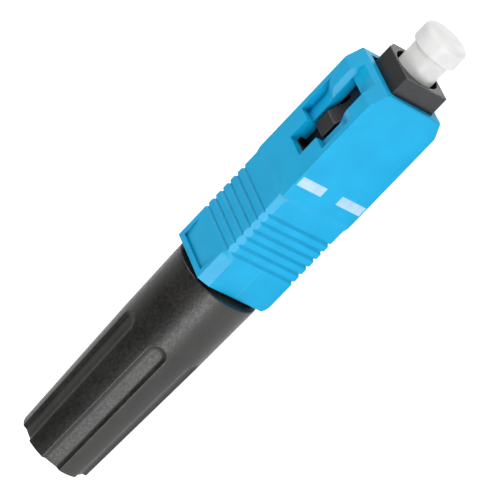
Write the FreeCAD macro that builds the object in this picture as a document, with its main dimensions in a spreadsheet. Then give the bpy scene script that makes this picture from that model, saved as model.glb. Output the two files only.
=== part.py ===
import FreeCAD, Part
import math
import os

import Sketcher

# SC fibre connector, field-assembly type, with its dust cap on and its tail nut done up.
# Every size is in millimetres. X runs along the fibre towards the dust cap, Z is up, and the
# window side of the coupling sleeve looks up. The pieces are drawn about the fibre axis, with
# X = 0 at the rear edge of the sleeve, and each body is then set down on the ground plane.

Vector = FreeCAD.Vector
doc = FreeCAD.newDocument("sc_fibre_connector")
sheet = doc.addObject("Spreadsheet::Sheet", "Sizes")

SIZES = [
    # fits
    ("slide_fit", 0.05, "clearance each side of parts that slide"),
    ("loose_fit", 0.10, "clearance each side of parts that pass freely"),
    ("bond_fit", 0.01, "clearance all round parts that are glued or pressed"),
    ("seat_gap", 0.02, "gap left between faces that rest on each other"),
    ("through", 12.0, "depth of a cut that goes right through"),
    ("run_out", 1.0, "how far a cut runs on past the surface that it opens"),
    ("root", 0.2, "how far an added block reaches into the solid that it joins"),
    # coupling sleeve, outside
    ("sleeve_length", 26.46, "rear edge to front edge"),
    ("sleeve_half_wide", 4.5, "half of the 9.0 side"),
    ("sleeve_half_thick", 3.7, "half of the 7.4 side"),
    ("sleeve_step_front", 12.5, "where the full section starts"),
    ("sleeve_step_rear", 11.6, "where the grip section ends"),
    ("grip_half_wide", 4.41, "half of the grip section, wide way"),
    ("grip_half_thick", 3.49, "half of the grip section, thin way"),
    ("lead_length", 1.83, "length of the sloped lead at the front of the window sides"),
    ("lead_drop", 0.92, "drop of that slope"),
    ("front_bevel", 0.12, "bevel at the front of the flat sides"),
    ("rear_lead_length", 1.0, "length of the curved lead at the rear of the plain window side"),
    ("rear_lead_drop", 0.38, "drop of that lead"),
    ("sleeve_edge_round", 0.12, "rounding of the long edges"),
    # coupling sleeve, strip along the corner beside the label panel
    ("strip_end", 12.2, "front end of the slim corner strip"),
    ("strip_wide", 0.72, "slim strip measured down the window side"),
    ("strip_thin", 0.36, "slim strip measured across the flat side"),
    ("band_length", 3.5, "length of the plain band at the rear"),
    ("band_run", 0.7, "length of the slope from the slim strip to the broad one"),
    ("band_wide", 1.25, "broad strip measured down the window side"),
    ("band_thin", 0.64, "broad strip measured across the flat side"),
    # coupling sleeve, grip grooves
    ("groove_first", 4.3, "middle of the rear groove"),
    ("groove_pitch", 1.075, "groove spacing"),
    ("groove_count", 6, "grooves on each side"),
    ("groove_top", 0.46, "groove width at the surface"),
    ("groove_floor", 0.08, "groove width at its floor"),
    ("groove_depth", 0.2, "groove depth"),
    # coupling sleeve, inside
    ("cavity_half_thick", 2.95, "half of the hollow, thin way"),
    ("cavity_rear_half", 3.6, "half of the hollow behind the shoulder, wide way"),
    ("cavity_front_half", 2.82, "half of the hollow in front of the shoulder, wide way"),
    ("sleeve_shoulder", 16.25, "where the hollow narrows"),
    ("lug_track_rear", 12.25, "rear end of the groove that the frame's lug runs in"),
    ("lug_track_front", 15.95, "front end of that groove"),
    ("lug_track_half", 1.1, "half width of that groove"),
    ("lug_track_depth", 0.3, "depth of that groove"),
    # coupling sleeve, windows and cam rails
    ("window_rear", 18.15, "rear wall of the hook track"),
    ("window_front", 24.15, "front edge of the window"),
    ("window_half", 1.5, "half width of the window"),
    ("slot_rear", 15.72, "rear end of the narrow slot"),
    ("slot_half", 1.35, "half width of the narrow slot"),
    ("track_floor", 3.87, "height of the hook track floor over the fibre axis"),
    ("track_half_top", 1.8, "half width of the hook track at the surface"),
    ("rail_half", 3.05, "half of the distance between the outer rail walls"),
    ("rail_low", 3.68, "height of the low end of the cam rail"),
    ("rail_low_end", 20.4, "where the cam rail starts to rise"),
    ("rail_high_start", 22.6, "where the cam rail reaches the surface"),
    # coupling sleeve, key and label panel
    ("key_rear", 18.7, "rear end of the key"),
    ("key_front", 24.5, "front end of the key"),
    ("key_half", 1.1, "half width of the key"),
    ("key_height", 0.8, "height of the key"),
    ("key_bevel", 0.25, "bevel on the key's front end"),
    ("panel_rear", 0.62, "rear edge of the label panel"),
    ("panel_front", 2.95, "front edge of the label panel"),
    ("panel_near", 2.3, "label panel reach towards the flat side"),
    ("panel_far", 2.9, "label panel reach towards the key side"),
    ("panel_depth", 0.14, "label panel depth"),
    # plug frame
    ("frame_rear", 8.2, "rear end of the plug frame"),
    ("nose_reach", 2.17, "nose beyond the sleeve's front edge"),
    ("frame_half_thick", 2.9, "half thickness of the frame"),
    ("nose_half_wide", 2.75, "half width of the nose"),
    ("frame_half_wide", 3.52, "half width of the rear part"),
    ("frame_shoulder", 15.75, "where the frame narrows to the nose width"),
    ("nose_corner", 0.85, "bevel on the two key side corners of the nose"),
    ("nose_bore", 2.5, "radius of the bore round the ferrule"),
    ("bore_floor", 22.6, "floor of that bore"),
    ("wall_rear", 21.2, "rear face of the wall that stops the ferrule holder"),
    ("wall_hole", 1.75, "radius of the hole in that wall"),
    ("holder_bore", 2.3, "radius of the bore behind that wall"),
    ("neck_seat", 13.5, "front end of the pocket for the rear body's neck"),
    ("latch_rear", 18.3, "rear face of the latch block"),
    ("latch_top_end", 20.15, "front end of the latch block's flat top"),
    ("latch_foot", 21.9, "foot of the latch block's slope"),
    ("latch_height", 3.72, "latch block top over the fibre axis"),
    ("latch_half", 1.0, "half width of the latch block"),
    ("side_pit_rear", 21.15, "rear end of the pits beside the latch block"),
    ("side_pit_front", 22.5, "front end of those pits"),
    ("side_pit_outer", 2.25, "outer reach of those pits"),
    ("side_pit_floor", 2.4, "floor of those pits over the fibre axis"),
    ("lug_rear", 14.0, "rear end of the travel lug"),
    ("lug_length", 1.6, "length of the travel lug"),
    ("lug_half", 1.0, "half width of the travel lug"),
    ("lug_height", 0.25, "height of the travel lug"),
    ("snap_rear", 9.6, "rear end of the snap window"),
    ("snap_front", 11.6, "front end of the snap window"),
    ("snap_half", 1.3, "half width of the snap window"),
    # ferrule set
    ("ferrule_radius", 1.2495, "ferrule radius"),
    ("ferrule_length", 10.5, "ferrule length"),
    ("ferrule_reach", 0.77, "ferrule end face beyond the nose"),
    ("ferrule_bevel", 0.3, "length of the bevel at both ends of the ferrule"),
    ("ferrule_bevel_drop", 0.21, "drop of that bevel"),
    ("fibre_radius", 0.0625, "glass fibre radius"),
    ("fibre_tail", 8.0, "rear end of the built-in fibre"),
    ("fibre_room", 0.08, "radius of the hole that the fibre lies in"),
    ("holder_flange", 2.2, "corner radius of the holder's six sided flange"),
    ("flange_length", 1.63, "length of the flange"),
    ("barrel_radius", 1.55, "radius of the holder's barrel"),
    ("barrel_rear", 14.0, "rear end of the barrel"),
    ("spigot_radius", 0.95, "radius of the splice base's spigot"),
    ("spigot_length", 1.4, "length of the spigot"),
    ("spring_wire", 0.17, "radius of the spring wire"),
    ("spring_mean", 1.85, "mean radius of the spring"),
    ("spring_turns", 5, "turns of the spring"),
    ("splice_radius", 1.5, "radius of the closed splice"),
    ("splice_rear", 1.6, "rear end of the splice base"),
    ("lid_rear", 2.4, "rear end of the splice lid"),
    ("lid_front", 13.4, "front end of the splice lid"),
    ("groove_half", 0.17, "half width and depth of the fibre groove"),
    ("funnel_length", 0.8, "length of the lead-in at the rear of the fibre groove"),
    ("funnel_half", 0.6, "half width of the lead-in"),
    ("clip_rear", 9.2, "rear end of the splice clip"),
    ("clip_length", 3.6, "length of the splice clip"),
    ("clip_sheet", 0.15, "sheet thickness of the splice clip"),
    ("clip_mouth", 0.7, "half of the gap along the splice clip"),
    # rear body
    ("neck_front", 13.35, "front end of the neck"),
    ("neck_half_thick", 2.3, "half thickness of the neck"),
    ("neck_half_wide", 2.95, "half width of the neck's head"),
    ("neck_waist_half", 2.3, "half width of the neck behind its head"),
    ("snap_step", 0.1, "height of the snap block at its front"),
    ("snap_flat", 0.6, "length of the snap block's flat top"),
    ("neck_bore", 1.75, "radius of the bore through the neck"),
    ("shoulder_front", 0.7, "front face of the square shoulder"),
    ("collar_front", -0.34, "where the square shoulder meets the round collar"),
    ("shoulder_half_thick", 2.75, "half thickness of the shoulder"),
    ("shoulder_half_wide", 3.4, "half width of the shoulder"),
    ("collar_rear", -1.4, "rear face of the round collar"),
    ("collar_radius", 3.93, "radius of the round collar"),
    ("thread_radius", 3.6, "radius of the threaded part"),
    ("thread_rear", -9.2, "rear end of the threaded part"),
    ("jaw_slope", 0.3, "length of the slope from the thread down to the jaws"),
    ("jaw_rear", -19.3, "rear end of the cable jaws"),
    ("jaw_front_radius", 3.5, "radius at the front of the cable jaws"),
    ("jaw_rear_radius", 3.0, "radius at the rear of the cable jaws"),
    ("cradle_half", 1.6, "half width of the cable cradle"),
    ("cradle_floor", -1.05, "floor of the cable cradle"),
    ("cradle_front", -8.4, "front end of the cable cradle"),
    ("guide_radius", 0.5, "radius of the fibre guide hole"),
    ("guide_mouth", 1.3, "radius of the fibre guide's mouth"),
    ("guide_front", -5.2, "front end of the fibre guide wall"),
    ("guide_cone", -7.0, "front end of the fibre guide's mouth"),
    ("tooth_pitch", 1.0, "tooth spacing"),
    ("tooth_count", 7, "teeth in the cradle"),
    ("tooth_height", 0.28, "tooth height"),
    ("tooth_first", -17.6, "rear tooth"),
    ("finger_slot_half", 0.75, "half width of the slot for the lock slider's finger"),
    ("finger_slot_rear", 1.6, "rear end of that slot"),
    ("finger_slot_front", 8.0, "front end of that slot"),
    # cable clamp cover
    ("cover_rear", -18.4, "rear end of the clamp cover"),
    ("cover_front", -9.5, "front end of the clamp cover"),
    ("cover_under", 1.05, "underside of the clamp cover over the fibre axis"),
    ("cover_lip_half", 1.5, "half width of the cover's gripping rib"),
    ("cover_lip_under", 0.75, "underside of that rib over the fibre axis"),
    # lock slider
    ("slider_rear", 0.95, "rear end of the lock slider"),
    ("slider_length", 4.3, "length of the lock slider"),
    ("slider_half_thick", 2.86, "half thickness of the lock slider"),
    ("slider_half_wide", 3.48, "half width of the lock slider"),
    ("finger_half", 0.65, "half width of the slider's finger"),
    ("finger_under", 1.62, "underside of the finger over the fibre axis"),
    ("finger_length", 1.6, "length of the finger"),
    # tail nut
    ("nut_gap", 0.38, "gap between the sleeve and the nut"),
    ("nut_length", 25.0, "length of the tail nut"),
    ("nut_front_radius", 4.81, "radius of the nut at its front rim"),
    ("nut_waist", 9.2, "distance from the sleeve to where the taper steepens"),
    ("nut_waist_radius", 4.66, "radius of the nut there"),
    ("nut_rear_radius", 4.17, "radius of the nut at its rear rim"),
    ("nut_rim_round", 0.12, "rounding of the front rim"),
    ("nut_tail_round", 0.1, "rounding of the rear rim"),
    ("nut_mouth_radius", 4.03, "radius of the nut's mouth round the collar"),
    ("nut_mouth_depth", 1.12, "depth of that mouth"),
    ("nut_gland_front", 3.65, "radius at the front of the gripping cone"),
    ("nut_gland_rear", 3.12, "radius at the rear of the gripping cone"),
    ("nut_gland_end", -19.6, "rear end of the gripping cone"),
    ("nut_cone_end", -22.4, "rear end of the inner slope"),
    ("cable_hole", 1.9, "radius of the cable hole"),
    ("cable_hole_bevel", 0.35, "bevel round the cable hole"),
    ("flute_count", 6, "flutes round the nut"),
    ("flute_tip", -8.1, "front end of a flute"),
    ("flute_half", 1.07, "half width of a flute"),
    ("flute_depth", 0.37, "depth of a flute along its middle"),
    ("flute_scoop", 2.5, "radius of the hollow across a flute"),
    # dust cap
    ("cap_depth", 4.88, "how deep the cap's stem stands in the nose"),
    ("cap_stem", 2.05, "radius of the stem"),
    ("cap_head", 2.5, "radius of the head"),
    ("cap_neck", 2.37, "stem seen between the nose and the head"),
    ("cap_reach", 4.42, "cap beyond the nose"),
    ("cap_front_round", 0.45, "rounding of the head's front rim"),
    ("cap_rear_round", 0.15, "rounding of the head's rear rim"),
    ("cap_bore_gap", 0.7, "room between the ferrule and the end of the cap's bore"),
    ("cap_bore_cone", 0.5, "length of the cone at the end of the bore"),
]


class Size:
    """A number together with the sheet expression that gives it."""

    def __init__(self, value, text):
        self.value = float(value)
        self.text = text

    def __add__(self, other):
        other = as_size(other)
        return Size(self.value + other.value, f"({self.text} + {other.text})")

    def __sub__(self, other):
        other = as_size(other)
        return Size(self.value - other.value, f"({self.text} - {other.text})")

    def __mul__(self, other):
        other = as_size(other)
        return Size(self.value * other.value, f"({self.text} * {other.text})")

    def __truediv__(self, other):
        other = as_size(other)
        return Size(self.value / other.value, f"({self.text} / {other.text})")

    def __neg__(self):
        return Size(-self.value, f"(0 - {self.text})")

    __radd__ = __add__
    __rmul__ = __mul__


def as_size(number):
    if isinstance(number, Size):
        return number
    return Size(number, repr(float(number)))


class Sizes:
    """The sheet's sizes, each as an attribute."""


d = Sizes()
for line, (alias, number, note) in enumerate(SIZES, 1):
    sheet.set(f"A{line}", note)
    sheet.set(f"B{line}", str(number))
    sheet.setAlias(f"B{line}", alias)
    setattr(d, alias, Size(number, f"Sizes.{alias}"))
doc.recompute()

nothing = as_size(0)
nose_front = d.sleeve_length + d.nose_reach
cap_front = nose_front + d.cap_reach
ferrule_tip = nose_front + d.ferrule_reach
nut_front = -d.nut_gap
nut_rear = nut_front - d.nut_length
mid_length = (cap_front + nut_rear) / 2
past = d.run_out
root = d.root


# Helpers. A feature is made, the model is worked out, and the volume must have changed the
# way that the feature should change it.

PLANE_ROLES = {"XY": "XY_Plane", "XZ": "XZ_Plane", "YZ": "YZ_Plane"}
NORMAL_SIGN = {"XY": 1, "XZ": -1, "YZ": 1}
LEFT = 1
RIGHT = -1
TINY = 1e-6
HEXAGON_FLAT = math.sqrt(3) / 2
# An arc that starts level gets a radius a touch over the exact one, so that it stays one arc.
LEVEL_START = 1.002


def new_body(name):
    body = doc.addObject("PartDesign::Body", name)
    body.Label = name
    body.setExpression("Placement.Base.x", (-mid_length).text)
    body.setExpression("Placement.Base.z", d.nut_front_radius.text)
    return body


def origin_part(body, role):
    return [part for part in body.Origin.OriginFeatures if part.Role == role][0]


def volume(body):
    if body.Shape.isNull():
        return 0.0
    return body.Shape.Volume


def finish_feature(body, feature, grows):
    before = volume(body)
    body.Tip = feature
    doc.recompute()
    state = " ".join(feature.State)
    if "Invalid" in state or "Error" in state:
        raise RuntimeError(f"{feature.Label} could not be worked out")
    if feature.Shape.isNull() or not feature.Shape.isValid():
        raise RuntimeError(f"{feature.Label} has no valid shape")
    if len(feature.Shape.Solids) != 1:
        raise RuntimeError(f"{feature.Label} leaves {len(feature.Shape.Solids)} solids")
    change = feature.Shape.Volume - before
    if grows and change < TINY:
        raise RuntimeError(f"{feature.Label} added nothing")
    if not grows and change > -TINY:
        raise RuntimeError(f"{feature.Label} removed nothing")
    return feature


def empty_sketch(body, name, plane, offset=nothing):
    sketch = body.newObject("Sketcher::SketchObject", name)
    sketch.AttachmentSupport = [(origin_part(body, PLANE_ROLES[plane]), "")]
    sketch.MapMode = "FlatFace"
    place = FreeCAD.Placement(Vector(0, 0, offset.value), FreeCAD.Rotation())
    sketch.AttachmentOffset = place
    sketch.setExpression("AttachmentOffset.Base.z", offset.text)
    return sketch


def bind(sketch, kind, item, place, size, label):
    rule = sketch.addConstraint(Sketcher.Constraint(kind, -1, 1, item, place, size.value))
    sketch.renameConstraint(rule, label)
    sketch.setExpression(f"Constraints.{label}", size.text)


def arc_between(start, end, radius, turn):
    chord = end - start
    middle = (start + end) * 0.5
    rise = math.sqrt(max(radius**2 - (chord.Length / 2) ** 2, 0.0))
    left = Vector(-chord.y, chord.x, 0).normalize()
    centre = middle + left * rise * turn
    first, last = (start, end) if turn == LEFT else (end, start)
    a0 = math.atan2(first.y - centre.y, first.x - centre.x)
    a1 = math.atan2(last.y - centre.y, last.x - centre.x)
    if a1 <= a0:
        a1 += 2 * math.pi
    return Part.ArcOfCircle(Part.Circle(centre, Vector(0, 0, 1), radius), a0, a1)


def draw_outline(sketch, corners, tag):
    """A closed outline. A corner is (x, y), or (x, y, radius, turn) where an arc leads to it."""
    points = [Vector(as_size(c[0]).value, as_size(c[1]).value, 0) for c in corners]
    count = len(corners)
    starts = []
    ends = []
    items = []
    for i in range(count):
        follow = (i + 1) % count
        corner = corners[follow]
        if len(corner) == 2:
            item = sketch.addGeometry(Part.LineSegment(points[i], points[follow]), False)
            starts.append((item, 1))
            ends.append((item, 2))
        else:
            radius, turn = as_size(corner[2]), corner[3]
            arc = arc_between(points[i], points[follow], radius.value, turn)
            item = sketch.addGeometry(arc, False)
            starts.append((item, 1 if turn == LEFT else 2))
            ends.append((item, 2 if turn == LEFT else 1))
        items.append(item)
    for i in range(count):
        follow = (i + 1) % count
        join = Sketcher.Constraint("Coincident", *ends[i], *starts[follow])
        sketch.addConstraint(join)
    for i, corner in enumerate(corners):
        bind(sketch, "DistanceX", *starts[i], as_size(corner[0]), f"{tag}x{i}")
        bind(sketch, "DistanceY", *starts[i], as_size(corner[1]), f"{tag}y{i}")
    for i in range(count):
        corner = corners[(i + 1) % count]
        if len(corner) == 4:
            radius = as_size(corner[2])
            rule = sketch.addConstraint(Sketcher.Constraint("Radius", items[i], radius.value))
            sketch.renameConstraint(rule, f"{tag}r{i}")
            sketch.setExpression(f"Constraints.{tag}r{i}", radius.text)


def draw_circle(sketch, radius, tag):
    item = sketch.addGeometry(Part.Circle(Vector(), Vector(0, 0, 1), radius.value), False)
    sketch.addConstraint(Sketcher.Constraint("Coincident", item, 3, -1, 1))
    rule = sketch.addConstraint(Sketcher.Constraint("Radius", item, radius.value))
    sketch.renameConstraint(rule, tag)
    sketch.setExpression(f"Constraints.{tag}", radius.text)


def sketch_of(body, name, plane, outlines, start):
    sketch = empty_sketch(body, f"{name}_sketch", plane, start)
    for i, outline in enumerate(outlines):
        if isinstance(outline, Size):
            draw_circle(sketch, outline, f"o{i}")
        else:
            draw_outline(sketch, outline, f"o{i}")
    return sketch


def add(body, name, plane, outlines, low, high):
    """Add outlines drawn on a plane, from low to high along the axis across that plane."""
    low, high = as_size(low), as_size(high)
    start = low if NORMAL_SIGN[plane] > 0 else -high
    sketch = sketch_of(body, name, plane, outlines, start)
    pad = body.newObject("PartDesign::Pad", name)
    pad.Profile = sketch
    pad.setExpression("Length", (high - low).text)
    return finish_feature(body, pad, True)


def cut(body, name, plane, outlines, low, high):
    """Cut outlines drawn on a plane, from low to high along the axis across that plane."""
    low, high = as_size(low), as_size(high)
    start = high if NORMAL_SIGN[plane] > 0 else -low
    sketch = sketch_of(body, name, plane, outlines, start)
    pocket = body.newObject("PartDesign::Pocket", name)
    pocket.Profile = sketch
    pocket.setExpression("Length", (high - low).text)
    return finish_feature(body, pocket, False)


def turn(body, name, outline, grows=True):
    """Turn an outline, given as (x, radius) corners, about the fibre axis."""
    sketch = sketch_of(body, name, "XZ", [outline], nothing)
    kind = "PartDesign::Revolution" if grows else "PartDesign::Groove"
    feature = body.newObject(kind, name)
    feature.Profile = sketch
    feature.ReferenceAxis = (sketch, ["H_Axis"])
    feature.Angle = 360
    return finish_feature(body, feature, grows)


def both_sides(body, name, features, plane_role, grows):
    mirror = body.newObject("PartDesign::Mirrored", name)
    mirror.Originals = features
    mirror.MirrorPlane = (origin_part(body, plane_role), [""])
    return finish_feature(body, mirror, grows)


def in_line(body, name, features, pitch, count, grows):
    pattern = body.newObject("PartDesign::LinearPattern", name)
    pattern.Originals = features
    pattern.Direction = (origin_part(body, "X_Axis"), [""])
    pattern.Mode = "Spacing"
    pattern.setExpression("Offset", pitch.text)
    pattern.setExpression("Occurrences", count.text)
    return finish_feature(body, pattern, grows)


def in_circle(body, name, features, count, grows):
    pattern = body.newObject("PartDesign::PolarPattern", name)
    pattern.Originals = features
    pattern.Axis = (origin_part(body, "X_Axis"), [""])
    pattern.Angle = 360
    pattern.setExpression("Occurrences", count.text)
    return finish_feature(body, pattern, grows)


def box(x0, x1, y0, y1):
    return [(x0, y0), (x1, y0), (x1, y1), (x0, y1)]


def flipped(outline, x_sign, y_sign):
    """The outline mirrored left to right, up to down, or both."""
    corners = []
    for corner in outline:
        place = (as_size(corner[0]) * x_sign, as_size(corner[1]) * y_sign)
        if len(corner) == 4:
            place += (corner[2], corner[3] * x_sign * y_sign)
        corners.append(place)
    return corners


def four_corners(outline):
    return [flipped(outline, x_sign, y_sign) for x_sign in (1, -1) for y_sign in (1, -1)]


# Coupling sleeve: the outer shell that is pushed and pulled. Its two window sides carry the
# hook track and the cam rails that lift the adapter's hooks off the frame when it is pulled.

sleeve = new_body("coupling_sleeve")
wide, thick = d.sleeve_half_wide, d.sleeve_half_thick
front = d.sleeve_length
lead_start = front - d.lead_length
lead_end = wide - d.lead_drop
rear_run, rear_drop = d.rear_lead_length, d.rear_lead_drop
rear_lead_bend = (rear_run * rear_run + rear_drop * rear_drop) / (rear_drop * 2) * LEVEL_START

add(
    sleeve,
    "shell",
    "XZ",
    [
        [
            (nothing, d.rear_lead_drop - d.grip_half_wide),
            (d.rear_lead_length, -d.grip_half_wide, rear_lead_bend, LEFT),
            (d.sleeve_step_rear, -d.grip_half_wide),
            (d.sleeve_step_front, -wide),
            (lead_start, -wide),
            (front, -lead_end),
            (front, lead_end),
            (lead_start, wide),
            (d.sleeve_step_front, wide),
            (d.sleeve_step_rear, d.grip_half_wide),
            (nothing, d.grip_half_wide),
        ]
    ],
    -thick,
    thick,
)

flat_side = [
    (nothing - past, d.grip_half_thick),
    (d.sleeve_step_rear, d.grip_half_thick),
    (d.sleeve_step_front, thick),
    (front - d.front_bevel, thick),
    (front + past, thick - d.front_bevel - past),
    (front + past, thick + past),
    (nothing - past, thick + past),
]
side_cut = cut(sleeve, "flat_side", "XY", [flat_side], -d.through, d.through)
both_sides(sleeve, "flat_side_pair", [side_cut], "XZ_Plane", False)


def corner_wedge(wide_run, thin_run):
    """A wedge that takes off the corner beside the label panel, drawn in Y and Z."""
    y_line, z_line = d.grip_half_thick, d.grip_half_wide
    slope = wide_run / thin_run
    wedge = [
        (y_line - thin_run - past, z_line + slope * past),
        (y_line + past, z_line - wide_run - slope * past),
        (y_line + past * 2, z_line - wide_run - slope * past),
        (y_line + past * 2, z_line + slope * past),
    ]
    return flipped(wedge, -1, 1)


slim = corner_wedge(d.strip_wide, d.strip_thin)
broad = corner_wedge(d.band_wide, d.band_thin)
cut(sleeve, "slim_strip", "YZ", [slim], -past, d.strip_end)
cut(sleeve, "broad_strip", "YZ", [broad], -past, d.band_length)
narrowing = sleeve.newObject("PartDesign::SubtractiveLoft", "narrowing_strip")
narrowing.Profile = sketch_of(sleeve, "broad_end", "YZ", [broad], d.band_length)
narrowing.Sections = [sketch_of(sleeve, "slim_start", "YZ", [slim], d.band_length + d.band_run)]
narrowing.Ruled = True
finish_feature(sleeve, narrowing, False)

# grip grooves on all four sides


def groove_outline(surface, side):
    half_top, half_floor = d.groove_top / 2, d.groove_floor / 2
    over = surface + root
    spread = (half_top - half_floor) / d.groove_depth * root
    outline = [
        (d.groove_first - half_floor, (surface - d.groove_depth) * side),
        (d.groove_first + half_floor, (surface - d.groove_depth) * side),
        (d.groove_first + half_top + spread, over * side),
        (d.groove_first - half_top - spread, over * side),
    ]
    return outline


flat_grooves = cut(
    sleeve,
    "flat_groove",
    "XY",
    [groove_outline(d.grip_half_thick, 1), groove_outline(d.grip_half_thick, -1)],
    -d.through,
    d.through,
)
in_line(sleeve, "flat_grooves", [flat_grooves], d.groove_pitch, d.groove_count, False)
window_groove = cut(
    sleeve,
    "window_side_groove",
    "XZ",
    [groove_outline(d.grip_half_wide, 1), groove_outline(d.grip_half_wide, -1)],
    -d.through,
    d.through,
)
in_line(sleeve, "window_side_grooves", [window_groove], d.groove_pitch, d.groove_count, False)

# the hollow for the plug frame, and the two inside grooves that limit the travel

hollow = d.cavity_half_thick
cut(
    sleeve,
    "hollow",
    "XZ",
    [
        [
            (nothing - past, -d.cavity_rear_half),
            (d.sleeve_shoulder, -d.cavity_rear_half),
            (d.sleeve_shoulder, -d.cavity_front_half),
            (front + past, -d.cavity_front_half),
            (front + past, d.cavity_front_half),
            (d.sleeve_shoulder, d.cavity_front_half),
            (d.sleeve_shoulder, d.cavity_rear_half),
            (nothing - past, d.cavity_rear_half),
        ]
    ],
    -hollow,
    hollow,
)
cut(
    sleeve,
    "lug_tracks",
    "XY",
    [
        box(
            d.lug_track_rear,
            d.lug_track_front,
            -(hollow + d.lug_track_depth),
            hollow + d.lug_track_depth,
        )
    ],
    -d.lug_track_half,
    d.lug_track_half,
)

# the window, the narrow slot behind it, the hook track and the cam rails

window = cut(
    sleeve,
    "window",
    "XY",
    [box(d.window_rear, d.window_front, -d.window_half, d.window_half)],
    d.cavity_front_half - past,
    d.through,
)
slot = cut(
    sleeve,
    "slot",
    "XY",
    [box(d.slot_rear, d.window_rear + past, -d.slot_half, d.slot_half)],
    d.cavity_front_half - past,
    d.through,
)
splay = (d.track_half_top - d.window_half) / (wide - d.track_floor)
track = cut(
    sleeve,
    "hook_track",
    "YZ",
    [
        [
            (-d.window_half, d.track_floor),
            (d.window_half, d.track_floor),
            (d.track_half_top + splay * past, wide + past),
            (-d.track_half_top - splay * past, wide + past),
        ]
    ],
    d.window_rear,
    front + past,
)
rail_middle_x = (d.rail_low_end + d.rail_high_start) / 2
rail_middle_z = (d.rail_low + wide) / 2
bend_run = rail_middle_x - d.rail_low_end
bend_rise = rail_middle_z - d.rail_low
rail_bend = (bend_run * bend_run + bend_rise * bend_rise) / (bend_rise * 2) * LEVEL_START
rails = cut(
    sleeve,
    "cam_rails",
    "XZ",
    [
        [
            (d.window_rear, d.rail_low),
            (d.rail_low_end, d.rail_low),
            (rail_middle_x, rail_middle_z, rail_bend, LEFT),
            (d.rail_high_start, wide, rail_bend, RIGHT),
            (d.rail_high_start, wide + past),
            (d.window_rear, wide + past),
        ]
    ],
    -d.rail_half,
    d.rail_half,
)
both_sides(sleeve, "windows", [window, slot, track, rails], "XY_Plane", False)

add(
    sleeve,
    "key",
    "XY",
    [
        [
            (d.key_rear, thick - root),
            (d.key_front, thick - root),
            (d.key_front, thick + d.key_height - d.key_bevel),
            (d.key_front - d.key_bevel * 2, thick + d.key_height),
            (d.key_rear, thick + d.key_height),
        ]
    ],
    -d.key_half,
    d.key_half,
)
cut(
    sleeve,
    "label_panel",
    "XZ",
    [
        [
            (d.panel_rear, d.grip_half_wide - d.panel_depth),
            (d.panel_front, d.grip_half_wide),
            (d.panel_front, wide + past),
            (d.panel_rear, wide + past),
        ]
    ],
    -d.panel_near,
    d.panel_far,
)

soft = d.sleeve_edge_round
soft_edge = [
    (thick - soft, wide + past),
    (thick - soft, wide),
    (thick, wide - soft, soft, RIGHT),
    (thick + past, wide - soft),
    (thick + past, wide + past),
]
cut(sleeve, "soft_edges", "YZ", four_corners(soft_edge), d.sleeve_step_rear, front)

# Plug frame: holds the ferrule set, and its latch blocks are what the adapter's hooks grip.

frame = new_body("plug_frame")
nose_wide, frame_wide = d.nose_half_wide, d.frame_half_wide
frame_thick = d.frame_half_thick
add(
    frame,
    "frame_block",
    "XZ",
    [
        [
            (d.frame_rear, -frame_wide),
            (d.frame_shoulder, -frame_wide),
            (d.frame_shoulder, -nose_wide),
            (nose_front, -nose_wide),
            (nose_front, nose_wide),
            (d.frame_shoulder, nose_wide),
            (d.frame_shoulder, frame_wide),
            (d.frame_rear, frame_wide),
        ]
    ],
    -frame_thick,
    frame_thick,
)
corner = cut(
    frame,
    "nose_corner",
    "YZ",
    [
        [
            (frame_thick - d.nose_corner - past, nose_wide + past),
            (frame_thick + past, nose_wide - d.nose_corner - past),
            (frame_thick + past, nose_wide + past),
        ]
    ],
    d.frame_shoulder,
    nose_front + past,
)
both_sides(frame, "nose_corners", [corner], "XY_Plane", False)
latch = add(
    frame,
    "latch_block",
    "XZ",
    [
        [
            (d.latch_rear, nose_wide - root),
            (d.latch_foot, nose_wide - root),
            (d.latch_foot, nose_wide),
            (d.latch_top_end, d.latch_height),
            (d.latch_rear, d.latch_height),
        ]
    ],
    -d.latch_half,
    d.latch_half,
)
both_sides(frame, "latch_blocks", [latch], "XY_Plane", True)
pits = cut(
    frame,
    "side_pit",
    "XY",
    [
        box(d.side_pit_rear, d.side_pit_front, d.latch_half, d.side_pit_outer),
        box(d.side_pit_rear, d.side_pit_front, -d.side_pit_outer, -d.latch_half),
    ],
    d.side_pit_floor,
    nose_wide + past,
)
both_sides(frame, "side_pits", [pits], "XY_Plane", False)
add(
    frame,
    "travel_lugs",
    "XY",
    [
        [
            (d.lug_rear, -(frame_thick + d.lug_height)),
            (d.lug_rear + d.lug_length, -(frame_thick + d.lug_height)),
            (d.lug_rear + d.lug_length, frame_thick + d.lug_height),
            (d.lug_rear, frame_thick + d.lug_height),
        ]
    ],
    -d.lug_half,
    d.lug_half,
)
turn(
    frame,
    "nose_bore",
    [
        (d.bore_floor, nothing),
        (nose_front + past, nothing),
        (nose_front + past, d.nose_bore),
        (d.bore_floor, d.nose_bore),
    ],
    False,
)
turn(
    frame,
    "holder_bore",
    [
        (d.frame_rear - past, nothing),
        (d.bore_floor + past, nothing),
        (d.bore_floor + past, d.wall_hole),
        (d.wall_rear, d.wall_hole),
        (d.wall_rear, d.holder_bore),
        (d.frame_rear - past, d.holder_bore),
    ],
    False,
)
cut(
    frame,
    "neck_pocket",
    "XY",
    [
        box(
            d.frame_rear - past,
            d.neck_seat,
            -(d.neck_half_thick + d.slide_fit),
            d.neck_half_thick + d.slide_fit,
        )
    ],
    -(d.neck_half_wide + d.slide_fit),
    d.neck_half_wide + d.slide_fit,
)
cut(
    frame,
    "snap_windows",
    "XY",
    [box(d.snap_rear, d.snap_front, -d.snap_half, d.snap_half)],
    -d.through,
    d.through,
)

# Ferrule set: ferrule, glass fibre, holder, spring and the splice that grips the field fibre.

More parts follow.
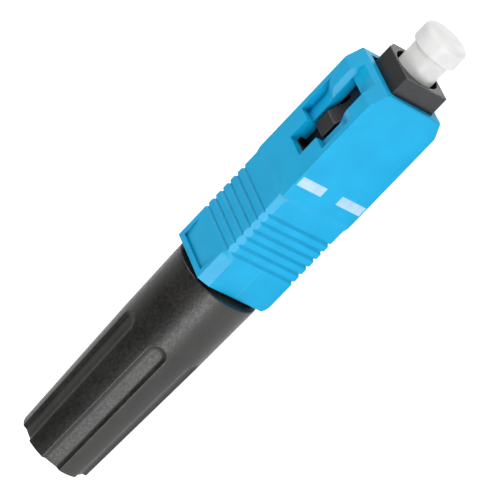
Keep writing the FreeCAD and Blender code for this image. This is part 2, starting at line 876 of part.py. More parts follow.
ferrule = new_body("ferrule")
ferrule_rear = ferrule_tip - d.ferrule_length
ferrule_r = d.ferrule_radius
bevel = d.ferrule_bevel
turn(
    ferrule,
    "ferrule_rod",
    [
        (ferrule_rear, d.fibre_room),
        (ferrule_tip, d.fibre_room),
        (ferrule_tip, ferrule_r - d.ferrule_bevel_drop),
        (ferrule_tip - bevel, ferrule_r),
        (ferrule_rear + bevel, ferrule_r),
        (ferrule_rear, ferrule_r - d.ferrule_bevel_drop),
    ],
)

fibre = new_body("fibre_stub")
turn(
    fibre,
    "fibre_rod",
    [
        (d.fibre_tail, nothing),
        (ferrule_tip, nothing),
        (ferrule_tip, d.fibre_radius),
        (d.fibre_tail, d.fibre_radius),
    ],
)

holder = new_body("ferrule_holder")
holder_front = d.wall_rear - d.seat_gap
flange_rear = holder_front - d.flange_length
seat = ferrule_r + d.bond_fit
turn(
    holder,
    "holder_barrel",
    [
        (d.barrel_rear, d.spigot_radius + d.bond_fit),
        (d.barrel_rear + d.spigot_length + d.seat_gap, d.spigot_radius + d.bond_fit),
        (d.barrel_rear + d.spigot_length + d.seat_gap, d.guide_radius),
        (ferrule_rear - d.seat_gap, d.guide_radius),
        (ferrule_rear - d.seat_gap, seat),
        (holder_front, seat),
        (holder_front, d.barrel_radius),
        (d.barrel_rear, d.barrel_radius),
    ],
)
half_flat = d.holder_flange * HEXAGON_FLAT
half_side = d.holder_flange / 2
add(
    holder,
    "holder_flange",
    "YZ",
    [
        [
            (-half_flat, -half_side),
            (nothing, -d.holder_flange),
            (half_flat, -half_side),
            (half_flat, half_side),
            (nothing, d.holder_flange),
            (-half_flat, half_side),
        ],
        d.barrel_radius - root,
    ],
    flange_rear,
    holder_front,
)

spring = new_body("ferrule_spring")
spring_rear = d.neck_front + d.seat_gap + d.spring_wire
spring_front = flange_rear - d.seat_gap - d.spring_wire
coil = empty_sketch(spring, "wire_section", "XZ")
ring = coil.addGeometry(
    Part.Circle(
        Vector(spring_rear.value, d.spring_mean.value, 0), Vector(0, 0, 1), d.spring_wire.value
    ),
    False,
)
bind(coil, "DistanceX", ring, 3, spring_rear, "start")
bind(coil, "DistanceY", ring, 3, d.spring_mean, "mean")
wire_rule = coil.addConstraint(Sketcher.Constraint("Radius", ring, d.spring_wire.value))
coil.renameConstraint(wire_rule, "wire")
coil.setExpression("Constraints.wire", d.spring_wire.text)
helix = spring.newObject("PartDesign::AdditiveHelix", "coil")
helix.Profile = coil
helix.ReferenceAxis = (coil, ["H_Axis"])
helix.Mode = "height-turns-angle"
helix.setExpression("Height", (spring_front - spring_rear).text)
helix.setExpression("Turns", d.spring_turns.text)
finish_feature(spring, helix, True)

splice_base = new_body("splice_base")
splice_r = d.splice_radius
base_front = d.barrel_rear - d.seat_gap
add(splice_base, "base_rod", "YZ", [splice_r], d.splice_rear, base_front)
cut(
    splice_base,
    "lid_seat",
    "XY",
    [box(d.lid_rear - d.loose_fit, d.lid_front + d.loose_fit, -d.through, d.through)],
    nothing,
    d.through,
)
spigot_front = base_front + d.spigot_length
add(splice_base, "spigot", "YZ", [d.spigot_radius], base_front - root, spigot_front)
cut(
    splice_base,
    "fibre_groove",
    "YZ",
    [
        [
            (nothing, -d.groove_half),
            (d.groove_half, nothing),
            (nothing, d.groove_half),
            (-d.groove_half, nothing),
        ]
    ],
    d.splice_rear - past,
    spigot_front + past,
)
turn(
    splice_base,
    "lead_in",
    [
        (d.splice_rear - past, nothing),
        (d.splice_rear + d.funnel_length, nothing),
        (d.splice_rear, d.funnel_half),
        (d.splice_rear - past, d.funnel_half),
    ],
    False,
)

splice_lid = new_body("splice_lid")
add(splice_lid, "lid_rod", "YZ", [splice_r], d.lid_rear, d.lid_front)
cut(
    splice_lid,
    "lid_underside",
    "XY",
    [box(d.lid_rear - past, d.lid_front + past, -d.through, d.through)],
    -d.through,
    d.seat_gap,
)
cut(
    splice_lid,
    "lid_fibre_room",
    "YZ",
    [box(-d.groove_half, d.groove_half, nothing, d.groove_half)],
    d.lid_rear - past,
    d.lid_front + past,
)

clip = new_body("splice_clip")
clip_in = splice_r + d.bond_fit
clip_front = d.clip_rear + d.clip_length
turn(
    clip,
    "clip_tube",
    [
        (d.clip_rear, clip_in),
        (clip_front, clip_in),
        (clip_front, clip_in + d.clip_sheet),
        (d.clip_rear, clip_in + d.clip_sheet),
    ],
)
cut(
    clip,
    "clip_gap",
    "XZ",
    [box(d.clip_rear - past, clip_front + past, -d.clip_mouth, d.clip_mouth)],
    nothing,
    d.through,
)

# Rear body: its neck snaps into the plug frame, its thread takes the tail nut, and its cradle
# holds the cable under a hinged cover.

rear = new_body("rear_body")
neck_thick = d.neck_half_thick
waist = d.neck_waist_half
add(
    rear,
    "neck",
    "XZ",
    [
        [
            (d.shoulder_front - root, -waist),
            (d.frame_rear, -waist),
            (d.frame_rear, -d.neck_half_wide),
            (d.neck_front, -d.neck_half_wide),
            (d.neck_front, d.neck_half_wide),
            (d.frame_rear, d.neck_half_wide),
            (d.frame_rear, waist),
            (d.shoulder_front - root, waist),
        ]
    ],
    -neck_thick,
    neck_thick,
)
snap_fit = d.slide_fit
snap_top = frame_wide - d.loose_fit
snap = add(
    rear,
    "snap_block",
    "XZ",
    [
        [
            (d.snap_rear + snap_fit, d.neck_half_wide - root),
            (d.snap_front - snap_fit, d.neck_half_wide - root),
            (d.snap_front - snap_fit, d.neck_half_wide + d.snap_step),
            (d.snap_rear + snap_fit + d.snap_flat, snap_top),
            (d.snap_rear + snap_fit, snap_top),
        ]
    ],
    -(d.snap_half - snap_fit),
    d.snap_half - snap_fit,
)
both_sides(rear, "snap_blocks", [snap], "XY_Plane", True)
add(
    rear,
    "shoulder",
    "YZ",
    [
        box(
            -d.shoulder_half_thick,
            d.shoulder_half_thick,
            -d.shoulder_half_wide,
            d.shoulder_half_wide,
        )
    ],
    d.collar_front,
    d.shoulder_front,
)
jaw_step = d.thread_rear - d.jaw_slope
turn(
    rear,
    "round_body",
    [
        (d.jaw_rear, nothing),
        (d.shoulder_front - root, nothing),
        (d.shoulder_front - root, d.shoulder_half_thick - root),
        (d.collar_front, d.shoulder_half_thick - root),
        (d.collar_front, d.collar_radius),
        (d.collar_rear, d.collar_radius),
        (d.collar_rear, d.thread_radius),
        (d.thread_rear, d.thread_radius),
        (jaw_step, d.jaw_front_radius),
        (d.jaw_rear, d.jaw_rear_radius),
    ],
)
turn(
    rear,
    "long_bore",
    [
        (d.guide_front, nothing),
        (d.neck_front + past, nothing),
        (d.neck_front + past, d.neck_bore),
        (d.guide_front, d.neck_bore),
    ],
    False,
)
turn(
    rear,
    "fibre_guide",
    [
        (d.cradle_front - root, nothing),
        (d.guide_front + past, nothing),
        (d.guide_front + past, d.guide_radius),
        (d.guide_cone, d.guide_radius),
        (d.cradle_front, d.guide_mouth),
        (d.cradle_front - root, d.guide_mouth),
    ],
    False,
)
cut(
    rear,
    "cradle",
    "XY",
    [box(d.jaw_rear - past, d.cradle_front, -d.cradle_half, d.cradle_half)],
    d.cradle_floor,
    d.through,
)
cover_room = d.loose_fit
cut(
    rear,
    "cover_seat",
    "XY",
    [
        box(
            d.cover_rear - cover_room,
            d.cover_front + cover_room,
            -d.through,
            d.through,
        )
    ],
    d.cover_under - d.seat_gap,
    d.through,
)
tooth_face = d.tooth_first + d.tooth_pitch / 2
tooth = add(
    rear,
    "tooth",
    "XZ",
    [
        [
            (d.tooth_first, d.cradle_floor - root),
            (tooth_face, d.cradle_floor - root),
            (tooth_face, d.cradle_floor + d.tooth_height),
            (d.tooth_first, d.cradle_floor),
        ]
    ],
    -(d.cradle_half + root),
    d.cradle_half + root,
)
in_line(rear, "teeth", [tooth], d.tooth_pitch, d.tooth_count, True)
cut(
    rear,
    "finger_slot",
    "XY",
    [
        box(
            d.finger_slot_rear,
            d.finger_slot_front,
            -d.finger_slot_half,
            d.finger_slot_half,
        )
    ],
    nothing,
    d.through,
)

cover = new_body("cable_clamp_cover")
turn(
    cover,
    "cover_round",
    [
        (d.cover_rear, nothing),
        (d.cover_front, nothing),
        (d.cover_front, d.jaw_front_radius),
        (d.jaw_rear, d.jaw_rear_radius),
        (d.jaw_rear, nothing),
    ],
)
cut(
    cover,
    "cover_rear_face",
    "XY",
    [box(d.jaw_rear - past, d.cover_rear, -d.through, d.through)],
    -d.through,
    d.through,
)
cut(
    cover,
    "cover_underside",
    "YZ",
    [
        [
            (-d.through, -d.through),
            (d.through, -d.through),
            (d.through, d.cover_under),
            (d.cover_lip_half, d.cover_under),
            (d.cover_lip_half, d.cover_lip_under),
            (-d.cover_lip_half, d.cover_lip_under),
            (-d.cover_lip_half, d.cover_under),
            (-d.through, d.cover_under),
        ]
    ],
    d.jaw_rear - past,
    d.cover_front + past,
)
cover_notch = cut(
    cover,
    "cover_tooth_gap",
    "XZ",
    [
        [
            (d.tooth_first, d.cover_lip_under - root),
            (tooth_face, d.cover_lip_under - root),
            (tooth_face, d.cover_lip_under),
            (d.tooth_first, d.cover_lip_under + d.tooth_height),
        ]
    ],
    -d.through,
    d.through,
)
in_line(cover, "cover_tooth_gaps", [cover_notch], d.tooth_pitch, d.tooth_count, False)

# Lock slider: pushed forward on the neck, its finger holds the splice lid down.

slider = new_body("lock_slider")
slider_front = d.slider_rear + d.slider_length
add(
    slider,
    "slider_block",
    "YZ",
    [
        box(
            -d.slider_half_thick,
            d.slider_half_thick,
            -d.slider_half_wide,
            d.slider_half_wide,
        ),
        box(
            -(neck_thick + d.slide_fit),
            neck_thick + d.slide_fit,
            -(waist + d.slide_fit),
            waist + d.slide_fit,
        ),
    ],
    d.slider_rear,
    slider_front,
)
add(
    slider,
    "finger",
    "XY",
    [box(slider_front - d.finger_length, slider_front, -d.finger_half, d.finger_half)],
    d.finger_under,
    waist + d.slide_fit + root,
)

# Tail nut: screws onto the rear body and closes the jaws round the cable.

nut = new_body("tail_nut")
nut_waist = -d.nut_waist
rim = d.nut_rim_round
tail = d.nut_tail_round
gland_front_radius = d.nut_gland_front
mouth_floor = nut_front - d.nut_mouth_depth
thread_bore = d.thread_radius + d.slide_fit
turn(
    nut,
    "nut_shell",
    [
        (nut_front, d.nut_mouth_radius),
        (nut_front, d.nut_front_radius - rim),
        (nut_front - rim, d.nut_front_radius, rim, LEFT),
        (nut_waist, d.nut_waist_radius),
        (nut_rear + tail, d.nut_rear_radius),
        (nut_rear, d.nut_rear_radius - tail, tail, LEFT),
        (nut_rear, d.cable_hole + d.cable_hole_bevel),
        (nut_rear + d.cable_hole_bevel, d.cable_hole),
        (d.nut_cone_end, d.cable_hole),
        (d.nut_gland_end, d.nut_gland_rear),
        (d.thread_rear, gland_front_radius),
        (mouth_floor, thread_bore),
        (mouth_floor, d.nut_mouth_radius),
    ],
)

# A flute is the hollow that a round-nosed cutter leaves when it runs along the taper.
flute_ball = d.flute_tip - d.flute_half
taper_run = nut_waist - nut_rear
taper_rise = d.nut_waist_radius - d.nut_rear_radius
cutter_height = d.nut_waist_radius - d.flute_depth + d.flute_scoop
flute_plane = empty_sketch(nut, "flute_sketch", "XZ")
flute_plane.AttachmentOffset = FreeCAD.Placement(
    Vector(flute_ball.value, cutter_height.value, 0),
    FreeCAD.Rotation(Vector(0, 0, 1), math.degrees(math.atan2(taper_rise.value, taper_run.value))),
)
flute_plane.setExpression("AttachmentOffset.Base.x", flute_ball.text)
flute_plane.setExpression("AttachmentOffset.Base.y", cutter_height.text)
taper_angle = f"atan({(taper_rise / taper_run).text})"
flute_plane.setExpression("AttachmentOffset.Rotation.Angle", taper_angle)
cutter = d.flute_scoop
draw_outline(
    flute_plane,
    [
        (cutter, nothing),
        (nothing, -cutter, cutter, RIGHT),
        (-d.nut_length, -cutter),
        (-d.nut_length, nothing),
    ],
    "o0",
)
flute = nut.newObject("PartDesign::Groove", "flute")
flute.Profile = flute_plane
flute.ReferenceAxis = (flute_plane, ["H_Axis"])
flute.Angle = 360
finish_feature(nut, flute, False)
in_circle(nut, "flutes", [flute], d.flute_count, False)

# Dust cap: pushed over the ferrule inside the nose.

cap = new_body("dust_cap")
cap_inside = ferrule_r + d.slide_fit
cap_rear = nose_front - d.cap_depth
cap_head_rear = nose_front + d.cap_neck
cap_bore_end = ferrule_tip + d.cap_bore_gap
head_round = d.cap_front_round
back_round = d.cap_rear_round
turn(
    cap,
    "cap_shell",
    [
        (cap_rear, cap_inside),
        (cap_bore_end - d.cap_bore_cone, cap_inside),
        (cap_bore_end, nothing),
        (cap_front, nothing),
        (cap_front, d.cap_head - head_round),
        (cap_front - head_round, d.cap_head, head_round, LEFT),
        (cap_head_rear + back_round, d.cap_head),
        (cap_head_rear, d.cap_head - back_round, back_round, LEFT),
        (cap_head_rear, d.cap_stem),
        (cap_rear, d.cap_stem),
    ],
)

# Check every object, then write one file for each piece.

doc.recompute()
for item in doc.Objects:
    state = " ".join(item.State)
    if "Invalid" in state or "Error" in state:
        raise RuntimeError(f"{item.Label} could not be worked out")

os.makedirs("parts", exist_ok=True)
bodies = [item for item in doc.Objects if item.TypeId == "PartDesign::Body"]
for body in bodies:
    shape = body.Shape
    if shape.isNull() or not shape.isValid() or len(shape.Solids) != 1:
        raise RuntimeError(f"{body.Label} is not one valid solid")
    shape.exportStep(f"parts/{body.Label}.step")
    box_of = shape.BoundBox
    print(
        f"{body.Label:20s} volume {shape.Volume:8.2f}  "
        f"x {box_of.XMin:7.2f} {box_of.XMax:7.2f}  "
        f"y {box_of.YMin:6.2f} {box_of.YMax:6.2f}  z {box_of.ZMin:6.2f} {box_of.ZMax:6.2f}"
    )
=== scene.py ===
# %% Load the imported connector
import math

import bmesh
import bpy
from mathutils import Matrix, Vector


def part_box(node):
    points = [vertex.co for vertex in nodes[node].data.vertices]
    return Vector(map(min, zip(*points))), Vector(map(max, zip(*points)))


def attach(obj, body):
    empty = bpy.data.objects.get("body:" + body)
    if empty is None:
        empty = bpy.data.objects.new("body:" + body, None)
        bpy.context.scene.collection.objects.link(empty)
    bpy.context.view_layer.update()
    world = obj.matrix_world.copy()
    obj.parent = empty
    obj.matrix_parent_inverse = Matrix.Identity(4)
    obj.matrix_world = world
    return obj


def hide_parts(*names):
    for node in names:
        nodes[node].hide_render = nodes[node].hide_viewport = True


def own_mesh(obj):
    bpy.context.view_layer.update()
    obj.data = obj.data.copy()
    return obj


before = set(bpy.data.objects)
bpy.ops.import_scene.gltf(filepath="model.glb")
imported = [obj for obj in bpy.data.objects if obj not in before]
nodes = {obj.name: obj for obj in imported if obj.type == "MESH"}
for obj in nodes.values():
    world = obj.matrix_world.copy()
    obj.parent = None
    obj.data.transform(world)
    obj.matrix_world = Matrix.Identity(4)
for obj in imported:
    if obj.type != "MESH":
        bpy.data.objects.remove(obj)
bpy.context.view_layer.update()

# Every body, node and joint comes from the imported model, which is in metres.
MM = 0.001
print("nodes:", ", ".join(sorted(nodes)))

# %% [markdown]
# ## The plan
#
# The connector is a small moulded part, so what makes it look real is its edges and its
# plastics. The sleeve, the plug frame and the cap are copied from their solids, their flat
# faces are joined again, and their edges get the small radius that a mould leaves. The fluted
# nut and the wound spring follow a rule, so node trees make them. These pieces then stand for
# their solids, and the other solids stay and get a finish.
#
# The pieces are measured from the fibre axis, and X starts at the rear edge of the blue
# sleeve, as in the source. `at` turns such a place, in millimetres, into metres in the frame.

# %% Places in the frame
sleeve_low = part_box("coupling_sleeve")[0]
nut_low, nut_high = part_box("tail_nut")
AXIS_Z = nut_high[2] / 2
START_X = sleeve_low[0]


def at(x, y, z):
    return Vector((START_X + x * MM, y * MM, AXIS_Z + z * MM))


print("the fibre axis is", round(AXIS_Z / MM, 3), "mm up; the sleeve starts at x =",
      round(START_X / MM, 3), "mm")

# %% [markdown]
# ## Finished copies of the solids
#
# A imported solid is all triangles. Vertices in the same place are joined, and triangles that
# lie in one plane become one face, so that a bevel finds only the real edges. The bevel's
# width is the mould radius. Weighted normals keep the flat faces flat in the light.
#
# The bevel gives its new faces the second material slot, which can hold a paler colour as a
# painted highlight. Inner corners are left sharp, as a mould's own corners are.

# %% Objects and plain meshes


def add_object(name, data):
    thing = bpy.data.objects.new(name, data)
    bpy.context.collection.objects.link(thing)
    return thing


def plain_mesh(thing):
    """The mesh that an object's modifiers make, as plain geometry."""
    depsgraph = bpy.context.evaluated_depsgraph_get()
    return bpy.data.meshes.new_from_object(thing.evaluated_get(depsgraph))


print("object helpers ready")

# %% Whole faces, with the edges to be rounded
EDGE_ANGLE = math.radians(20)
FLAT_ANGLE = math.radians(0.6)
SAME_PLACE = 0.0005 * MM


def joined_faces(mesh, reshape, softness):
    """Turns a solid's triangles into whole faces, and marks the edges to be rounded."""
    work = bmesh.new()
    work.from_mesh(mesh)
    bmesh.ops.remove_doubles(work, verts=work.verts, dist=SAME_PLACE)
    bmesh.ops.dissolve_limit(work, angle_limit=FLAT_ANGLE, verts=work.verts,
                             edges=work.edges, delimit={"NORMAL"})
    if reshape:
        for vertex in work.verts:
            reshape(vertex)
    weight = work.edges.layers.float.new("bevel_weight_edge")
    for edge in work.edges:
        if len(edge.link_faces) == 2 and edge.calc_face_angle() > EDGE_ANGLE:
            if edge.is_convex:
                edge[weight] = softness(edge) if softness else 1.0
            else:
                edge.smooth = False
    work.to_mesh(mesh)
    work.free()


print("edges over", round(math.degrees(EDGE_ANGLE)), "degrees are rounded")

# %% The copy and its soft edges


def moulded_copy(node, name, radius, reshape=None, softness=None):
    """A copy of a solid with its edges softened by the mould radius, in millimetres."""
    mesh = nodes[node].data.copy()
    joined_faces(mesh, reshape, softness)
    mesh.materials.clear()
    mesh.materials.append(None)
    mesh.materials.append(None)
    mesh.polygons.foreach_set("use_smooth", [True] * len(mesh.polygons))
    piece = add_object(name, mesh)
    bevel = piece.modifiers.new("soft_edges", "BEVEL")
    bevel.width = radius * MM
    bevel.segments = 3
    bevel.limit_method = "WEIGHT"
    bevel.use_clamp_overlap = True
    bevel.miter_outer = "MITER_ARC"
    bevel.harden_normals = True
    # The bevel's faces take the second slot, where a paler colour can paint a highlight on the
    # edge.
    bevel.material = 1
    flat = piece.modifiers.new("flat_faces", "WEIGHTED_NORMAL")
    flat.mode = "FACE_AREA"
    flat.weight = 100
    flat.keep_sharp = True
    finished = plain_mesh(piece)
    piece.modifiers.clear()
    piece.data = finished
    finished.name = name
    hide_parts(node)
    print(f"{name}: {len(finished.polygons)} faces")
    return piece


# %% Plug frame and dust cap
plug = moulded_copy("plug_frame", "plug_nose", 0.09)
cap = moulded_copy("dust_cap", "soft_cap", 0.14)
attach(plug, "plug_body")
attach(cap, "cap_body")

# %% [markdown]
# ## The sleeve's grip and label panel
#
# The real grip is softer than its solid: the grooves are shallow, only their shoulders are
# round, and the label panel is pressed in a little deeper at its rear. So the sleeve's copy is
# reshaped before its edges are rounded. A vertex in a groove moves towards the surface, and
# one on the corner strip stays in the strip's plane.

# %% Shape of the grip
GRIP_THICK, GRIP_WIDE = 3.49, 4.41
GROOVES = [4.3 + 1.075 * k for k in range(6)]
GROOVE_TOP, GROOVE_DEPTH, GROOVE_SHARE = 0.46, 0.2, 0.75
STRIP_WIDE, STRIP_THIN = 0.72, 0.36
PANEL_REAR, PANEL_HALF, PANEL_DEPTH, PANEL_DEEPER = 0.62, 3.0, 0.14, 0.1
NEAR = 0.01


def in_millimetres(point):
    return ((point.x - START_X) / MM, point.y / MM, (point.z - AXIS_Z) / MM)


def soften_grip(vertex):
    """Moves one vertex of the sleeve, where it lies in a groove or on the panel's rear."""
    x, y, z = in_millimetres(vertex.co)
    on_panel_floor = abs(GRIP_WIDE - z - PANEL_DEPTH) < 2 * NEAR
    if abs(x - PANEL_REAR) < NEAR and abs(y) < PANEL_HALF and on_panel_floor:
        vertex.co.z -= PANEL_DEEPER * MM
    if min(abs(x - groove) for groove in GROOVES) > GROOVE_TOP / 2 - NEAR / 2:
        return
    down, across = GRIP_WIDE - abs(z), GRIP_THICK - abs(y)
    in_down = NEAR / 2 < down < GROOVE_DEPTH + NEAR / 2
    in_across = NEAR / 2 < across < GROOVE_DEPTH + NEAR / 2
    on_strip = y < 0 < z and abs(down / STRIP_WIDE + across / STRIP_THIN - 1) < NEAR
    if in_across:
        across *= GROOVE_SHARE
        if on_strip:
            down = STRIP_WIDE * (1 - across / STRIP_THIN)
    if in_down and not (in_across and on_strip):
        down *= GROOVE_SHARE
        if on_strip:
            across = STRIP_THIN * (1 - down / STRIP_WIDE)
    vertex.co.y = math.copysign(GRIP_THICK - across, y) * MM
    vertex.co.z = AXIS_Z + math.copysign(GRIP_WIDE - down, z) * MM


print("grooves at", [round(groove, 3) for groove in GROOVES], "mm")

# %% Softness of the grip, and the sleeve
SKIN, INNER_SHARE, FLOOR_SHARE = 0.25, 0.5, 0.35


def grip_softness(edge):
    """The share of the mould radius that an edge gets: all of it on a groove's shoulder."""
    x, y, z = in_millimetres((edge.verts[0].co + edge.verts[1].co) / 2)
    if abs(y) < GRIP_THICK - SKIN and abs(z) < GRIP_WIDE - SKIN:
        return INNER_SHARE
    away = min(abs(x - groove) for groove in GROOVES)
    if away < GROOVE_TOP / 4:
        return FLOOR_SHARE
    return 1.0 if abs(away - GROOVE_TOP / 2) < 2 * NEAR else INNER_SHARE


sleeve = moulded_copy("coupling_sleeve", "blue_sleeve", 0.1, reshape=soften_grip,
                      softness=grip_softness)
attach(sleeve, "sleeve_body")

# %% [markdown]
# ## Node helpers
#
# Every material below is built from the same few steps: a shader, object coordinates, noise,
# colour ramps and bumps. The helpers keep each material's cell short. `field` adds one Math
# node, and the node trees of the nut and the spring use it too.

# %% Materials, nodes and sums


def new_material(name):
    material = bpy.data.materials.new(name)
    material.use_nodes = True
    tree = material.node_tree
    shader = tree.nodes["Principled BSDF"]
    coords = tree.nodes.new("ShaderNodeTexCoord")
    return material, tree, shader, coords.outputs["Object"]


def add_node(tree, kind, **settings):
    node = tree.nodes.new(kind)
    for key, value in settings.items():
        if key in node.inputs:
            node.inputs[key].default_value = value
        else:
            setattr(node, key, value)
    return node


def field(tree, operation, *values):
    """One Math node. Each value is a socket to read or a plain number."""
    node = tree.nodes.new("ShaderNodeMath")
    node.operation = operation
    for socket, value in zip(node.inputs, values):
        if hasattr(value, "links"):
            tree.links.new(value, socket)
        else:
            socket.default_value = value
    return node.outputs["Value"]


def combine(tree, operation, *values):
    """The same operation over any count of values, two at a time."""
    result = values[0]
    for value in values[1:]:
        result = field(tree, operation, result, value)
    return result


print("node helpers ready")

# %% Patterns and colours


def noise(tree, coords, scale, detail=3.0, roughness=0.5):
    """Noise whose scale is in lumps per millimetre."""
    node = add_node(tree, "ShaderNodeTexNoise", Detail=detail, Roughness=roughness)
    node.inputs["Scale"].default_value = scale / MM
    tree.links.new(coords, node.inputs["Vector"])
    return node.outputs["Fac"]


def ramp(tree, value, stops):
    node = tree.nodes.new("ShaderNodeValToRGB")
    marks = node.color_ramp.elements
    while len(marks) < len(stops):
        marks.new(0.5)
    for mark, (place, colour) in zip(marks, stops):
        mark.position = place
        mark.color = colour
    tree.links.new(value, node.inputs["Fac"])
    return node.outputs["Color"]


def grey(level):
    return (level, level, level, 1)


def mix_colour(tree, amount, first, second, blend="MIX"):
    node = tree.nodes.new("ShaderNodeMix")
    node.data_type = "RGBA"
    node.blend_type = blend
    for place, value in ((0, amount), (6, first), (7, second)):
        if hasattr(value, "links"):
            tree.links.new(value, node.inputs[place])
        else:
            node.inputs[place].default_value = value
    return node.outputs[2]


def bump(tree, height, distance, strength):
    """A bump whose distance is in millimetres."""
    node = add_node(tree, "ShaderNodeBump", Distance=distance * MM, Strength=strength)
    tree.links.new(height, node.inputs["Height"])
    return node.outputs["Normal"]


def linear(red, green, blue):
    """A colour given as it looks on a screen, 0 to 255, as the shader wants it."""
    def one(level):
        share = level / 255
        return share / 12.92 if share <= 0.04045 else ((share + 0.055) / 1.055) ** 2.4

    return (one(red), one(green), one(blue), 1)


print("pattern and colour helpers ready")

# %% [markdown]
# ## Blue sleeve
#
# A cyan-blue plastic with a satin face. Two white bars are printed on the flat side, and a
# fine line shows where the mould's two halves meet. The material draws both from object
# coordinates, because a print has no thickness that shows. Under an even sky the grooves and
# the window would look flat, so shade is painted into the colour itself in hollows, which an
# Ambient Occlusion node finds. The rounded edges get a paler blue, a painted highlight.

# %% Helpers of the blue plastic
PRINT_EDGE = 0.02 * MM


def step(tree, value, start, end):
    """0 before start and 1 past end, where start may be the greater."""
    node = add_node(tree, "ShaderNodeMapRange", clamp=True)
    node.inputs["From Min"].default_value = start
    node.inputs["From Max"].default_value = end
    tree.links.new(value, node.inputs["Value"])
    return node.outputs["Result"]


def between(tree, value, low, high):
    """1 where a coordinate lies between low and high, in metres, 0 elsewhere."""
    rise = step(tree, value, low - PRINT_EDGE, low + PRINT_EDGE)
    fall = step(tree, value, high + PRINT_EDGE, high - PRINT_EDGE)
    return field(tree, "MULTIPLY", rise, fall)


def shade(tree, colour, dark, reach=0.7):
    """The colour with shade painted in where the surface lies in a hollow, within reach
    millimetres.
    """
    hollow = add_node(tree, "ShaderNodeAmbientOcclusion", samples=8, Distance=reach * MM)
    depth = ramp(tree, hollow.outputs["AO"], [(0.35, grey(dark)), (0.93, grey(1.0))])
    return mix_colour(tree, 1.0, colour, depth, "MULTIPLY")


print("a print's edge is", round(2 * PRINT_EDGE / MM, 3), "mm soft")

# %% The print on the near flat side
NEAR_FACE = (-3.8, -3.4)
BAR_LENGTH = (13.95, 15.05)
UPPER_BAR, LOWER_BAR = (1.0, 4.22), (-4.3, -1.08)
MOULD_LINE, MOULD_LINE_HEIGHT = (0.2, 4.0), (-0.37, -0.33)
LINE_STRENGTH = 0.35


def printed(tree, coords, plain):
    """The plain colour with the bars and the mould line of the near flat side on it."""
    split = tree.nodes.new("ShaderNodeSeparateXYZ")
    tree.links.new(coords, split.inputs["Vector"])

    def band(axis, limits):
        low, high = (at(limit, limit, limit)["XYZ".index(axis)] for limit in limits)
        return between(tree, split.outputs[axis], low, high)

    near_side = band("Y", NEAR_FACE)
    heights = combine(tree, "ADD", band("Z", UPPER_BAR), band("Z", LOWER_BAR))
    bars = combine(tree, "MULTIPLY", near_side, band("X", BAR_LENGTH), heights)
    ink = ramp(tree, noise(tree, coords, 1.2, 4), [
        (0.35, linear(170, 203, 230)), (0.7, linear(188, 218, 240))])
    line = combine(tree, "MULTIPLY", near_side, band("X", MOULD_LINE),
                   band("Z", MOULD_LINE_HEIGHT), LINE_STRENGTH)
    marked = mix_colour(tree, bars, plain, ink)
    return mix_colour(tree, line, marked, linear(150, 215, 250))


print("bars from", *BAR_LENGTH, "mm along the sleeve")

# %% Blue plastic


def blue_plastic(name, low, high, with_print):
    material, tree, shader, coords = new_material(name)
    colour = ramp(tree, noise(tree, coords, 0.35, 4), [(0.35, low), (0.65, high)])
    if with_print:
        colour = printed(tree, coords, colour)
    # Shade is painted into the base colour in the sleeve's hollows.
    tree.links.new(shade(tree, colour, 0.42), shader.inputs["Base Color"])
    shader.inputs["Roughness"].default_value = 0.4
    shader.inputs["Specular IOR Level"].default_value = 0.32
    tree.links.new(bump(tree, noise(tree, coords, 9.0, 2), 0.004, 0.5),
                   shader.inputs["Normal"])
    return material


blue = blue_plastic("blue_plastic", linear(0, 162, 212), linear(4, 170, 220), True)
# A paler blue for the rounded edges: a painted highlight.
blue_edge_highlight = blue_plastic("blue_painted_highlight", linear(24, 178, 228), linear(40, 190, 240), False)
sleeve.data.materials[0] = blue
sleeve.data.materials[1] = blue_edge_highlight
print("blue plastic:", len(blue.node_tree.nodes), "nodes")

# %% [markdown]
# ## Dark plastics
#
# The plug frame is dark grey and satin, and its rounded edges get a paler grey, a painted
# highlight. The tail nut has a deeper grain from a spark-eroded mould, which catches the light
# as small specks. One function makes them all: a slow cloud and a quick grain together choose
# the tone, and the grain alone sets the sheen and the small bumps.

# %% Dark grey plastics


def dark_plastic(name, low, high, rough, grain_scale, grain_depth):
    """A dark plastic. The grain has so many lumps per millimetre, and a depth in millimetres."""
    material, tree, shader, coords = new_material(name)
    cloud = noise(tree, coords, 0.3, 4)
    grain = noise(tree, coords, grain_scale, 3, 0.65)
    blend = combine(tree, "MULTIPLY", cloud, grain)
    tree.links.new(ramp(tree, blend, [(0.12, low), (0.42, high)]), shader.inputs["Base Color"])
    tree.links.new(ramp(tree, grain, [(0.3, grey(rough - 0.08)), (0.7, grey(rough + 0.08))]),
                   shader.inputs["Roughness"])
    shader.inputs["Specular IOR Level"].default_value = 0.5
    tree.links.new(bump(tree, grain, grain_depth, 0.8), shader.inputs["Normal"])
    return material


frame_black = dark_plastic("frame_plastic", linear(20, 19, 21), linear(30, 29, 31),
                           rough=0.33, grain_scale=5.0, grain_depth=0.002)
nut_black = dark_plastic("nut_plastic", linear(18, 18, 17), linear(41, 40, 38),
                         rough=0.4, grain_scale=3.2, grain_depth=0.035)
body_black = dark_plastic("body_plastic", linear(24, 24, 26), linear(34, 34, 36),
                          rough=0.5, grain_scale=5.0, grain_depth=0.01)
# A paler grey for the rounded edges: a painted highlight.
frame_edge_highlight = dark_plastic("frame_painted_highlight", linear(66, 64, 67), linear(80, 78, 81),
                          rough=0.3, grain_scale=5.0, grain_depth=0.002)
plug.data.materials[0] = frame_black
plug.data.materials[1] = frame_edge_highlight
print("dark plastics: frame, frame edges, nut, body")

# %% [markdown]
# ## Fluted tail nut
#
# The nut is a turned form with six equal flutes, so its whole surface follows a rule. Geometry
# Nodes can write that rule once: a grid is wrapped round the axis, each row takes its place
# from one point of the nut's section, and each column's distance from the nearest flute says
# how deep it is pressed in. The section is a loop of points, drawn first.

